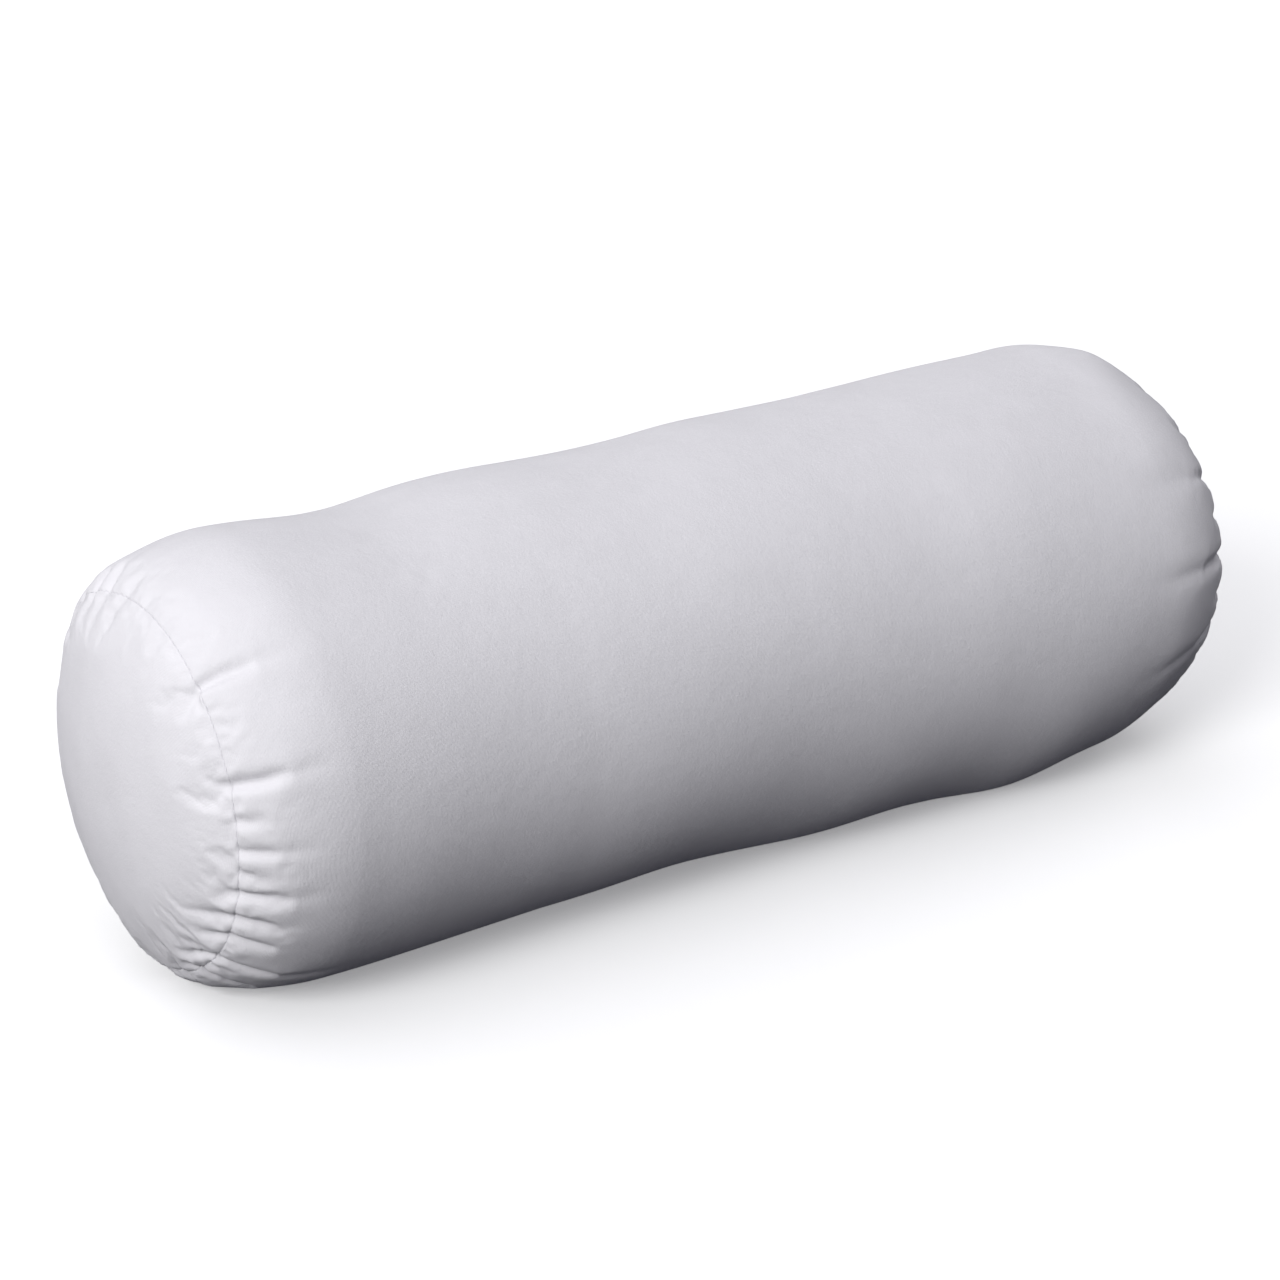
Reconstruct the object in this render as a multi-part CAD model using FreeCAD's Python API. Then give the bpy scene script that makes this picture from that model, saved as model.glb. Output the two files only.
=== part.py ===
"""Fibre-filled neck roll (massage bolster) in a removable zip cover.

Millimetres. The roll lies along X and rests on the plane Z = 0. The origin is under its middle, on
that plane. +Y is the rear, where the cover's lengthwise seam and its zip are.
"""

import FreeCAD
import Part

import math
import os

# Overall form
OVERALL_LENGTH = 510.0      # pole to pole, over both domed ends
DIAMETER = 178.0            # of the round middle
DOME_HEIGHT = 15.0          # bulge of each end panel beyond its seam
SEAM_RADIUS = 72.5          # of the circle where an end panel meets the body panel
SHOULDER_LENGTH = 46.0      # over which the body panel curves in to that seam
FLOOR_SINK = 6.0            # how far its weight flattens the round section

# Layers, from the outside in
COVER_CLOTH = 0.8
COVER_GAP = 1.2             # between cover and liner
LINER_CLOTH = 0.5
LINER_GAP = 0.3             # between liner and filling
THREAD = 0.35               # height of a sewn thread above its cloth
THREAD_LIFT = 0.02          # keeps a thread clear of the cloth that it lies on

# Zip: a coil zip, set in the rear of the body panel
ZIP_ANGLE = 24.0            # above the horizontal, seen from the roll's axis
SLOT_HALF_LENGTH = 175.0    # opening between the folded edges of the cloth
SLOT_HALF_WIDTH = 6.0
TAPE_HALF_LENGTH = 182.5
TAPE_INNER_EDGE = 1.2       # from the zip's centre line
TAPE_OUTER_EDGE = 14.2
TAPE_CLOTH = 0.6
TAPE_RADIUS = 87.3          # of the tape's underside, from the roll's axis
TOOTH_PITCH = 1.6
TOOTH_GAP = 0.12            # play on each side of a tooth
TOOTH_REACH = 0.9           # past the centre line, into the other row
SPINE_INNER = 1.9
SPINE_OUTER = 3.2
CHAIN_START = -169.5
CHAIN_END = 169.0
CHAIN_FLOOR = 88.0          # radial places of the coil's underside and top
CHAIN_TOP = 90.2
STOP_TOP = 90.5
STOP_OUTER = 3.5
STITCH_OFFSET = 8.6         # of each topstitched row, from the zip's centre line
STITCH_WIDTH = 0.7
STITCH_HALF_LENGTH = 180.0

# Slider, at its closed end
SLIDER_CENTRE = -167.0
SLIDER_LENGTH = 12.0
SLIDER_NOSE_WIDTH = 9.6
SLIDER_TAIL_WIDTH = 8.4
TOP_PLATE_FLOOR = 90.6
TOP_PLATE_TOP = 91.8
BOTTOM_PLATE_FLOOR = 85.9
BOTTOM_PLATE_TOP = 86.9
FLANGE_THICKNESS = 0.8
UPPER_FLANGE_FLOOR = 88.3
POST_LENGTH = 2.4
POST_WIDTH = 2.0
ARCH_START = -5.0           # along X, from the slider's centre
ARCH_END = 3.0
ARCH_WIDTH = 2.4
ARCH_HEIGHT = 3.0
ARCH_THICKNESS = 0.9

# Pull tab, lying along the closed chain
CROSSBAR_X = -3.2           # from the slider's centre
CROSSBAR_LIFT = 1.05        # above the top plate
CROSSBAR_RADIUS = 0.6
TAB_LENGTH = 25.0
TAB_THICKNESS = 1.3
TAB_EYE_HALF_WIDTH = 1.6
TAB_EYE_LENGTH = 8.2
TAB_NECK_HALF_WIDTH = 3.0
TAB_END_HALF_WIDTH = 3.8
TAB_HOLE_RADIUS = 1.5

# Sewn-in label, beside the zip on the lengthwise seam
LABEL_START = 192.0
LABEL_WIDTH = 15.0
LABEL_DROP = 24.0
LABEL_THICKNESS = 0.6
LABEL_LIFT = 0.12

RADIUS = DIAMETER / 2
AXIS_HEIGHT = RADIUS - FLOOR_SINK
SEAM_X = OVERALL_LENGTH / 2 - DOME_HEIGHT
SHOULDER_X = SEAM_X - SHOULDER_LENGTH
SHOULDER_DROP = RADIUS - SEAM_RADIUS
SHOULDER_CURVE = (SHOULDER_LENGTH**2 + SHOULDER_DROP**2) / (2 * SHOULDER_DROP)
DOME_CURVE = (SEAM_RADIUS**2 + DOME_HEIGHT**2) / (2 * DOME_HEIGHT)
DOME_CENTRE_X = OVERALL_LENGTH / 2 - DOME_CURVE
LINER_INSET = COVER_CLOTH + COVER_GAP
FILL_INSET = LINER_INSET + LINER_CLOTH + LINER_GAP
ZIP_BAND = BOTTOM_PLATE_FLOOR - 0.3    # the filling is pressed flat under the zip, to here
FAR = 300.0                            # beyond the whole roll

X_AXIS = FreeCAD.Vector(1, 0, 0)
ORIGIN = FreeCAD.Vector(0, 0, 0)


def v(x, y, z=0.0):
    return FreeCAD.Vector(x, y, z)


def block(x0, x1, y0, y1, z0, z1):
    """A box between two corners."""
    return Part.makeBox(x1 - x0, y1 - y0, z1 - z0, v(x0, y0, z0))


def placed(shape, angle=0.0):
    """A shape made about the roll's axis, turned about it and lifted to its height."""
    turned = shape.copy()
    turned.rotate(ORIGIN, X_AXIS, angle)
    turned.translate(v(0, 0, AXIS_HEIGHT))
    return turned


def seam_point(inset):
    """(x, radius) where the shoulder and the dome meet, on a surface that far inside the roll's."""
    r1 = SHOULDER_CURVE - inset
    r2 = DOME_CURVE - inset
    dx = DOME_CENTRE_X - SHOULDER_X
    dy = SHOULDER_CURVE - RADIUS
    apart = math.hypot(dx, dy)
    along = (r1**2 - r2**2 + apart**2) / (2 * apart)
    across = math.sqrt(r1**2 - along**2)
    x = SHOULDER_X + (along * dx + across * dy) / apart
    y = RADIUS - SHOULDER_CURVE + (along * dy - across * dx) / apart
    return x, y


def shoulder_radius(inset, x):
    """Radius of the shoulder at x, on a surface that far inside the roll's."""
    curve = SHOULDER_CURVE - inset
    return RADIUS - SHOULDER_CURVE + math.sqrt(curve**2 - (x - SHOULDER_X)**2)


def revolved(edges):
    """The solid that a closed outline in XY makes when it turns about X."""
    return Part.Face(Part.Wire(edges)).revolve(ORIGIN, X_AXIS, 360)


def floor_cut(shape, height):
    """The part of a shape, about the roll's axis, that is above a height over the floor."""
    return shape.common(block(-FAR, FAR, -FAR, FAR, height - AXIS_HEIGHT, FAR))


def band_cut(shape, reach):
    """The part of a shape inside the plane that lies under the zip, that far from the axis."""
    keep = block(-FAR, FAR, -FAR, reach, -FAR, FAR)
    keep.rotate(ORIGIN, X_AXIS, ZIP_ANGLE)
    return shape.common(keep)


def body_form(inset, end_x):
    """The solid inside the body panel, between x = -end_x and end_x."""
    radius = RADIUS - inset
    end_radius = shoulder_radius(inset, end_x)
    middle_x = (SHOULDER_X + end_x) / 2
    middle_radius = shoulder_radius(inset, middle_x)
    right = Part.Arc(v(SHOULDER_X, radius), v(middle_x, middle_radius), v(end_x, end_radius))
    left = Part.Arc(v(-end_x, end_radius), v(-middle_x, middle_radius), v(-SHOULDER_X, radius))
    outline = [
        Part.makeLine(v(-end_x, 0), v(-end_x, end_radius)),
        left.toShape(),
        Part.makeLine(v(-SHOULDER_X, radius), v(SHOULDER_X, radius)),
        right.toShape(),
        Part.makeLine(v(end_x, end_radius), v(end_x, 0)),
        Part.makeLine(v(end_x, 0), v(-end_x, 0)),
    ]
    return floor_cut(revolved(outline), inset)


def dome_form(inset, seam_x):
    """The solid between the plane x = seam_x and the right-hand dome."""
    curve = DOME_CURVE - inset
    pole_x = DOME_CENTRE_X + curve
    middle_x = (seam_x + pole_x) / 2
    rim = math.sqrt(curve**2 - (seam_x - DOME_CENTRE_X)**2)
    middle = math.sqrt(curve**2 - (middle_x - DOME_CENTRE_X)**2)
    outline = [
        Part.makeLine(v(seam_x, 0), v(seam_x, rim)),
        Part.Arc(v(seam_x, rim), v(middle_x, middle), v(pole_x, 0)).toShape(),
        Part.makeLine(v(pole_x, 0), v(seam_x, 0)),
    ]
    return revolved(outline)


def mirrored(shape):
    return shape.mirror(ORIGIN, X_AXIS)


def skin(inset, cloth, band=None):
    """(body panel, right end panel) of a sewn cloth skin, about the roll's axis."""
    seam_x, _ = seam_point(inset)
    outer = body_form(inset, seam_x)
    inner = body_form(inset + cloth, seam_x)
    if band is not None:
        outer = band_cut(outer, band)
        inner = band_cut(inner, band - cloth)
    dome = dome_form(inset, seam_x).cut(dome_form(inset + cloth, seam_x))
    return outer.cut(inner), dome


def surface_strip(inset, height, window, angle):
    """A strip that lies on the body panel's surface, as wide and long as the window."""
    seam_x, _ = seam_point(inset)
    end_x = seam_x - 1.0
    outer = body_form(inset - height, end_x)
    inner = body_form(inset, end_x)
    turned = window.copy()
    turned.rotate(ORIGIN, X_AXIS, angle)
    return outer.cut(inner).common(turned)


def seam_thread(inset):
    """A thread round the right-hand end seam, in the crease outside it."""
    x, radius = seam_point(inset)
    to_shoulder = v(x - SHOULDER_X, radius - RADIUS + SHOULDER_CURVE).normalize()
    to_dome = v(x - DOME_CENTRE_X, radius).normalize()
    out = (to_shoulder + to_dome).normalize() * (THREAD - 0.02)
    centre = v(x + out.x, radius + out.y)
    section = Part.makeCircle(THREAD - 0.05, centre, v(0, 0, 1))
    return revolved([section])


def cover():
    body, right = skin(0.0, COVER_CLOTH)
    slot = block(-SLOT_HALF_LENGTH, SLOT_HALF_LENGTH, TAPE_RADIUS - 5, RADIUS + 5,
                 -SLOT_HALF_WIDTH, SLOT_HALF_WIDTH)
    slot.rotate(ORIGIN, X_AXIS, ZIP_ANGLE)
    thread = seam_thread(0.0)
    return {
        "cover_body_panel": placed(body.cut(slot)),
        "cover_left_end_panel": placed(mirrored(right)),
        "cover_right_end_panel": placed(right),
        "cover_left_seam_thread": placed(mirrored(thread)),
        "cover_right_seam_thread": placed(thread),
    }


def cover_stitching():
    """Threads on the rear of the cover: beside the zip, and on the seam past each end of it."""
    seam_x, _ = seam_point(0.0)
    near, far = RADIUS - 20, RADIUS + 5
    half = STITCH_WIDTH / 2
    found = {}
    for name, side in (("zip_upper_stitching", 1), ("zip_lower_stitching", -1)):
        middle = side * STITCH_OFFSET
        window = block(-STITCH_HALF_LENGTH, STITCH_HALF_LENGTH, near, far, middle - half, middle + half)
        found[name] = placed(surface_strip(-THREAD_LIFT, THREAD, window, ZIP_ANGLE))
    window = block(STITCH_HALF_LENGTH, seam_x - 1.5, near, far, -half, half)
    right = surface_strip(-THREAD_LIFT, THREAD, window, ZIP_ANGLE)
    found["back_seam_right_stitching"] = placed(right)
    found["back_seam_left_stitching"] = placed(mirrored(right))
    return found


def liner():
    body, right = skin(LINER_INSET, LINER_CLOTH, ZIP_BAND)
    thread = seam_thread(LINER_INSET)
    half = STITCH_WIDTH / 2
    window = block(-SHOULDER_X, SHOULDER_X, RADIUS - 20, RADIUS + 5, -half, half)
    closing = surface_strip(LINER_INSET - THREAD_LIFT, THREAD, window, 90.0)
    return {
        "liner_body_panel": placed(body),
        "liner_left_end_panel": placed(mirrored(right)),
        "liner_right_end_panel": placed(right),
        "liner_left_seam_thread": placed(mirrored(thread)),
        "liner_right_seam_thread": placed(thread),
        "liner_closing_stitching": placed(closing),
    }


def filling():
    seam_x, _ = seam_point(FILL_INSET)
    body = band_cut(body_form(FILL_INSET, seam_x), ZIP_BAND - LINER_CLOTH - LINER_GAP)
    dome = dome_form(FILL_INSET, seam_x)
    return {"fibre_filling": placed(body.fuse([dome, mirrored(dome)]).removeSplitter())}


def tape(side):
    """One zip tape: a strip of cloth that follows the roll's curve under the folded edge."""
    outer = Part.makeCylinder(TAPE_RADIUS + TAPE_CLOTH, 2 * TAPE_HALF_LENGTH, v(-TAPE_HALF_LENGTH, 0, 0), X_AXIS)
    inner = Part.makeCylinder(TAPE_RADIUS, 2 * TAPE_HALF_LENGTH, v(-TAPE_HALF_LENGTH, 0, 0), X_AXIS)
    edges = sorted((side * TAPE_INNER_EDGE, side * TAPE_OUTER_EDGE))
    window = block(-FAR, FAR, RADIUS - 20, RADIUS + 5, *edges)
    return outer.cut(inner).common(window)


def tooth_row(side, first):
    """One row of the chain: a spine with teeth that reach past the centre line."""
    half = TOOTH_PITCH / 4 - TOOTH_GAP / 2
    tip, root, back = -side * TOOTH_REACH, side * SPINE_INNER, side * SPINE_OUTER
    outline = [(CHAIN_START, back), (CHAIN_START, root)]
    middle = CHAIN_START + first
    while middle + half < CHAIN_END:
        outline += [(middle - half, root), (middle - half, tip), (middle + half, tip), (middle + half, root)]
        middle += TOOTH_PITCH
    outline += [(CHAIN_END, root), (CHAIN_END, back)]
    points = [v(x, CHAIN_FLOOR, z) for x, z in outline]
    face = Part.Face(Part.makePolygon(points + [points[0]]))
    return face.extrude(v(0, CHAIN_TOP - CHAIN_FLOOR, 0))


def stops():
    """(top stops, bottom stop): a crimp on each tape at the closed end, and one across both."""
    slider_nose = SLIDER_CENTRE - SLIDER_LENGTH / 2
    x0, x1 = slider_nose - 1.7, slider_nose - 0.3
    top = Part.makeCompound([
        block(x0, x1, CHAIN_FLOOR, STOP_TOP, SPINE_INNER, STOP_OUTER),
        block(x0, x1, CHAIN_FLOOR, STOP_TOP, -STOP_OUTER, -SPINE_INNER),
    ])
    bottom = block(CHAIN_END + 0.3, CHAIN_END + 3.5, CHAIN_FLOOR, STOP_TOP, -STOP_OUTER, STOP_OUTER)
    return top, bottom.makeFillet(0.4, bottom.Edges)


def plate(floor, top):
    """A slider plate, a little wider at the nose than at the tail."""
    nose, tail = SLIDER_CENTRE - SLIDER_LENGTH / 2, SLIDER_CENTRE + SLIDER_LENGTH / 2
    wide, narrow = SLIDER_NOSE_WIDTH / 2, SLIDER_TAIL_WIDTH / 2
    corners = [v(nose, floor, -wide), v(tail, floor, -narrow), v(tail, floor, narrow), v(nose, floor, wide)]
    solid = Part.Face(Part.makePolygon(corners + [corners[0]])).extrude(v(0, top - floor, 0))
    upright = [e for e in solid.Edges if abs(e.Vertexes[0].Y - e.Vertexes[-1].Y) > 0.5]
    return solid.makeFillet(1.6, upright)


def slider():
    """Two plates round the chain, joined by a post at the nose, with an arch for the pull tab."""
    nose, tail = SLIDER_CENTRE - SLIDER_LENGTH / 2, SLIDER_CENTRE + SLIDER_LENGTH / 2
    body = plate(TOP_PLATE_FLOOR, TOP_PLATE_TOP)
    flange_out = SLIDER_TAIL_WIDTH / 2 - 0.1
    for side in (1, -1):
        z = sorted((side * flange_out, side * (flange_out - FLANGE_THICKNESS)))
        body = body.fuse(block(nose + 2, tail - 1, UPPER_FLANGE_FLOOR, TOP_PLATE_FLOOR + 0.2, *z))
    lower = plate(BOTTOM_PLATE_FLOOR, BOTTOM_PLATE_TOP)
    post = block(nose + 0.5, nose + 0.5 + POST_LENGTH, BOTTOM_PLATE_TOP - 0.2, TOP_PLATE_FLOOR + 0.2,
                 -POST_WIDTH / 2, POST_WIDTH / 2)
    x0, x1 = SLIDER_CENTRE + ARCH_START, SLIDER_CENTRE + ARCH_END
    arch = block(x0, x1, TOP_PLATE_TOP - 0.2, TOP_PLATE_TOP + ARCH_HEIGHT, -ARCH_WIDTH / 2, ARCH_WIDTH / 2)
    shoulders = [e for e in arch.Edges
                 if all(abs(p.Y - TOP_PLATE_TOP - ARCH_HEIGHT) < 0.01 for p in e.Vertexes)
                 and abs(e.Vertexes[0].X - e.Vertexes[-1].X) < 0.01]
    arch = arch.makeFillet(1.2, shoulders)
    hollow = block(x0 + ARCH_THICKNESS, x1 - ARCH_THICKNESS, TOP_PLATE_TOP,
                   TOP_PLATE_TOP + ARCH_HEIGHT - ARCH_THICKNESS, -ARCH_WIDTH, ARCH_WIDTH)
    return body.fuse([lower, post, arch.cut(hollow)]).removeSplitter()


def pull_tab():
    """A flat tab on a crossbar that lies under the slider's arch."""
    pivot_x = SLIDER_CENTRE + CROSSBAR_X
    pivot_y = TOP_PLATE_TOP + CROSSBAR_LIFT
    floor = pivot_y - TAB_THICKNESS / 2
    end = pivot_x + TAB_LENGTH - TAB_END_HALF_WIDTH
    outline = [
        Part.makeLine(v(pivot_x, floor, -TAB_NECK_HALF_WIDTH), v(end, floor, -TAB_END_HALF_WIDTH)),
        Part.Arc(v(end, floor, -TAB_END_HALF_WIDTH), v(end + TAB_END_HALF_WIDTH, floor, 0),
                 v(end, floor, TAB_END_HALF_WIDTH)).toShape(),
        Part.makeLine(v(end, floor, TAB_END_HALF_WIDTH), v(pivot_x, floor, TAB_NECK_HALF_WIDTH)),
        Part.makeLine(v(pivot_x, floor, TAB_NECK_HALF_WIDTH), v(pivot_x, floor, -TAB_NECK_HALF_WIDTH)),
    ]
    tab = Part.Face(Part.Wire(outline)).extrude(v(0, TAB_THICKNESS, 0))
    eye = block(pivot_x - 1, pivot_x + TAB_EYE_LENGTH, floor - 1, floor + 3,
                -TAB_EYE_HALF_WIDTH, TAB_EYE_HALF_WIDTH)
    hole = Part.makeCylinder(TAB_HOLE_RADIUS, 4, v(end, floor - 1, 0), v(0, 1, 0))
    bar = Part.makeCylinder(CROSSBAR_RADIUS, 2 * TAB_NECK_HALF_WIDTH, v(pivot_x, pivot_y, -TAB_NECK_HALF_WIDTH),
                            v(0, 0, 1))
    return tab.cut(eye).cut(hole).fuse(bar).removeSplitter()


def zip_parts():
    top, bottom = stops()
    made = {
        "zip_upper_tape": tape(1),
        "zip_lower_tape": tape(-1),
        "zip_upper_teeth": tooth_row(1, TOOTH_PITCH / 2),
        "zip_lower_teeth": tooth_row(-1, TOOTH_PITCH),
        "zip_top_stops": top,
        "zip_bottom_stop": bottom,
        "zip_slider": slider(),
        "zip_pull_tab": pull_tab(),
    }
    return {name: placed(shape, ZIP_ANGLE) for name, shape in made.items()}


def label():
    """A blank folded label, sewn into the lengthwise seam and hanging down from it."""
    window = block(LABEL_START, LABEL_START + LABEL_WIDTH, RADIUS - 30, RADIUS + 5, -LABEL_DROP, -STITCH_WIDTH)
    return {"care_label": placed(surface_strip(-LABEL_LIFT, LABEL_THICKNESS, window, ZIP_ANGLE))}


def main():
    os.makedirs("parts", exist_ok=True)
    nodes = {**cover(), **cover_stitching(), **liner(), **filling(), **zip_parts(), **label()}
    for name, shape in nodes.items():
        shape.exportStep(f"parts/{name}.step")
        box = shape.BoundBox
        print(f"{name:28s} solids {len(shape.Solids)} valid {shape.isValid()} volume {shape.Volume:12.1f}"
              f"  x {box.XMin:.1f}..{box.XMax:.1f} y {box.YMin:.1f}..{box.YMax:.1f} z {box.ZMin:.1f}..{box.ZMax:.1f}")


main()
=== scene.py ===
"""Looks of the neck roll: sewn and stuffed cloth cover, coil zip, liner, filling, label and studio."""

import math

import bmesh
import bpy
import numpy as np
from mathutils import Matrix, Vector


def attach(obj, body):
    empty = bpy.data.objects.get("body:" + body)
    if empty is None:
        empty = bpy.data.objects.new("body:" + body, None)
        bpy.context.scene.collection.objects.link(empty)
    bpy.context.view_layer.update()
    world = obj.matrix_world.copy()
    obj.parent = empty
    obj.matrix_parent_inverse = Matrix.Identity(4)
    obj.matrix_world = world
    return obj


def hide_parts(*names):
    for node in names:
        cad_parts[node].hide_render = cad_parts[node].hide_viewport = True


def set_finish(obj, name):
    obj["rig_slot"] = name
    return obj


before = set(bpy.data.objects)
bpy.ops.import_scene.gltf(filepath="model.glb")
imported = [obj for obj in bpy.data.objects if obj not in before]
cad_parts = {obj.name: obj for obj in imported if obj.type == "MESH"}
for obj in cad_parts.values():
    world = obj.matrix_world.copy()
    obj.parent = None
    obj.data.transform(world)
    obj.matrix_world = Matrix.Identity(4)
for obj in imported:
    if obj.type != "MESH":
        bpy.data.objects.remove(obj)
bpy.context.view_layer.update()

# Form of the roll, in metres, as in the CAD part
RADIUS = 0.089
AXIS_Z = 0.083
HALF_LENGTH = 0.255
SEAM_X = 0.240
SEAM_RADIUS = 0.0725
SHOULDER_X = 0.194
DOME_HEIGHT = HALF_LENGTH - SEAM_X
SHOULDER_DROP = RADIUS - SEAM_RADIUS
SHOULDER_CURVE = ((SEAM_X - SHOULDER_X)**2 + SHOULDER_DROP**2) / (2 * SHOULDER_DROP)
SHOULDER_ARC = SHOULDER_CURVE * math.asin((SEAM_X - SHOULDER_X) / SHOULDER_CURVE)
DOME_CURVE = (SEAM_RADIUS**2 + DOME_HEIGHT**2) / (2 * DOME_HEIGHT)
DOME_ARC = DOME_CURVE * math.asin(SEAM_RADIUS / DOME_CURVE)

# Zip, measured from the roll's axis and from the zip's centre line
ZIP_ANGLE = math.radians(24.0)
SLOT_HALF_LENGTH = 0.175
TAPE_HALF_LENGTH = 0.1825
TAPE_RADIUS = 0.0873
CHAIN_START, CHAIN_END = -0.1695, 0.169
TOOTH_PITCH = 0.0016
COIL_OUT = 0.08908          # of the middle of the wound wire, from the roll's axis
STITCH_OFFSET = 0.0086
STITCH_HALF_LENGTH = 0.180
BACK_SEAM = (0.1805, 0.237)  # where its stitches start and end, past both ends of the zip

LABEL_ENDS = (0.192, 0.207)  # of the ribbon's width, along the roll
LABEL_DROP = 0.0235         # of the folded ribbon, from the back seam to its fold

COLUMNS = 208               # of cloth round the roll while it is simulated
SIM_FRAMES = 26
CLOTH = 0.0006              # thickness of the cover's cloth
LINER_DEPTH = 0.0050        # of the liner under the cover's smooth surface

# Folds that run across an end seam: angle round the roll where each crosses it, its reach along the
# body panel, how far its far end drifts round, its reach on the end panel and the drift there (degrees
# and millimetres), and its depth in millimetres.
NEAR_FOLDS = [
    (84, 20, 4, 5, 0, 0.30), (96, 17, -4, 4, 0, 0.25), (131, 36, 1, 13, 6, 1.55), (139, 9, 0, 4, 0, 0.40),
    (161, 38, -1, 9, 0, 1.30), (171, 13, 1, 3, 0, 0.80), (180, 31, 0, 3, 0, 0.95), (187, 17, 1, 3, 1, 0.80),
    (194.5, 33, -2, 9, 3, 1.10), (204, 26, -1, 14, 5, 1.10), (212.5, 22, -1, 16, 10, 1.05),
    (226, 52, 1, 12, 14, 1.10), (240, 34, 2, 10, 6, 0.9),
]
FAR_FOLDS = [
    (70, 24, 3, 9, 0, 0.35), (84, 18, 0, 6, 0, 0.35), (97, 22, -2, 8, 0, 0.35), (111, 20, -2, 10, 0, 0.3),
    (127, 22, 2, 6, 0, 0.35), (145, 56, 0, 10, 0, 0.55), (158, 14, 0, 8, 0, 0.4), (171, 60, 0, 9, 0, 1.3),
    (184, 20, -2, 12, 0, 0.6), (194, 62, 6, 9, 0, 1.0), (206, 22, 0, 12, 0, 0.6), (221, 26, 0, 8, 0, 0.6),
    (236, 18, 0, 8, 0, 0.7),
]

# Soft lumps of the filling: place along the roll (mm), angle, length and width of the lump (mm), rise (mm)
LUMPS = [
    (-146, 68, 26, 60, -4.0), (-92, 68, 26, 60, 1.6), (-30, 68, 22, 60, -0.6), (90, 70, 34, 60, -1.6),
    (140, 238, 26, 60, 4.6), (42, 240, 26, 50, 1.6), (-32, 240, 26, 50, -1.6), (-10, 120, 30, 34, 1.0),
    (70, 150, 30, 34, -1.0), (-120, 150, 30, 36, -0.9), (120, 140, 24, 34, 0.9), (-60, 190, 34, 34, 0.8),
    (20, 200, 30, 36, -0.9), (-170, 190, 22, 34, 0.9), (170, 180, 24, 40, 0.9), (-60, 330, 34, 40, 1.0),
    (60, 350, 30, 44, -1.0), (120, 320, 30, 40, 1.2), (-130, 60, 26, 30, 0.8), (10, 62, 26, 30, -0.8),
    (221, 93, 10, 13, 1.9), (230, 111, 13, 18, -2.4), (186, 100, 18, 30, -0.9), (182, 129, 14, 12, -0.7),
    (206, 144, 14, 9, -0.9), (222, 214, 24, 34, -5.0), (-213, 245, 22, 26, -1.3), (18, 67, 18, 40, 1.1),
    (204, 74, 12, 24, 0.8),
]
# The same where an end panel meets the body
END_LUMPS = [(-238, 55, 13, 22, 2.4), (-244, 270, 13, 34, 2.6)]

rng = np.random.default_rng(11)


def smooth_step(t):
    """Rises from 0 to 1 with no corner as t does, and stays there outside."""
    t = np.clip(t, 0.0, 1.0)
    return t * t * (3 - 2 * t)


def turn_between(a, b):
    """Signed angle from b to a, in radians, at most half a turn."""
    return (a - b + math.pi) % (2 * math.pi) - math.pi


# ---------------------------------------------------------------- cloth of the cover

def profile():
    """(x, radius, distance from the nearer end seam) of each row of cloth, from pole to pole."""
    dome_centre = HALF_LENGTH - DOME_CURVE
    rows = []
    for s in np.concatenate([0.0023 * np.arange(14), 0.0299 + 0.0038 * np.arange(1, 12)]):
        a = (DOME_ARC - s) / DOME_CURVE
        rows.append((dome_centre + DOME_CURVE * math.cos(a), DOME_CURVE * math.sin(a), -s))
    rows.reverse()
    total = SHOULDER_ARC + SHOULDER_X
    for s in np.concatenate([np.arange(0.0023, 0.046, 0.0023), np.arange(0.046, total - 0.0023, 0.0046)]):
        if s < SHOULDER_ARC:
            a = (SHOULDER_ARC - s) / SHOULDER_CURVE
            x = SHOULDER_X + SHOULDER_CURVE * math.sin(a)
            rows.append((x, RADIUS - SHOULDER_CURVE * (1 - math.cos(a)), s))
        else:
            rows.append((total - s, RADIUS, s))
    half = np.array(rows)
    left = half * [-1, 1, 1]
    middle = np.array([[0.0, RADIUS, total]])
    return np.concatenate([left, middle, half[::-1]])


def lumps_at(x, angle, lumps):
    """Summed rise of soft round lumps at each point, in metres."""
    total = 0 * angle
    for at, turn, length, width, rise in lumps:
        d = (x - at / 1000)**2 / (length / 1000)**2
        d = d + (turn_between(angle, math.radians(turn)) * RADIUS)**2 / (width / 1000)**2
        total = total + rise / 1000 * np.exp(-d / 1.4)
    return total


def swell(x, angle, s):
    """How far the stuffed cover stands out from the plain round form, in metres."""
    along = np.interp(x, [-0.24, -0.194, -0.097, 0.0, 0.097, 0.194, 0.24],
                      [-0.0006, -0.0016, -0.0030, -0.0015, 0.0012, 0.0014, 0.0010])
    out = (along + lumps_at(x, angle, LUMPS)) * smooth_step((s + 0.004) / 0.03)
    out += lumps_at(x, angle, END_LUMPS) * smooth_step((s + 0.034) / 0.03)
    beside_zip = np.abs(turn_between(angle, ZIP_ANGLE)) * RADIUS
    away = smooth_step((beside_zip - 0.017) / 0.035)
    past = smooth_step((np.abs(x) - TAPE_HALF_LENGTH) / 0.03)
    return out * np.maximum(away, past)


def first_shape(rows, angles):
    """Points of the cover before it settles: rows by columns by xyz, its underside pressed flat."""
    x = rows[:, 0][:, None] + 0 * angles[None, :]
    s = rows[:, 2][:, None] + 0 * x
    turn = angles[None, :] + 0 * x
    radius = rows[:, 1][:, None] + swell(x, turn, s)
    y = radius * np.cos(turn)
    z = AXIS_Z + radius * np.sin(turn)
    rounding = 0.0012
    lifted = rounding * math.log(2) * np.exp(-np.abs(z) / 0.004)
    z = rounding * np.logaddexp(0.0, z / rounding) - lifted
    return np.stack([x, y, np.maximum(z, 0.0)], axis=2)


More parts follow.
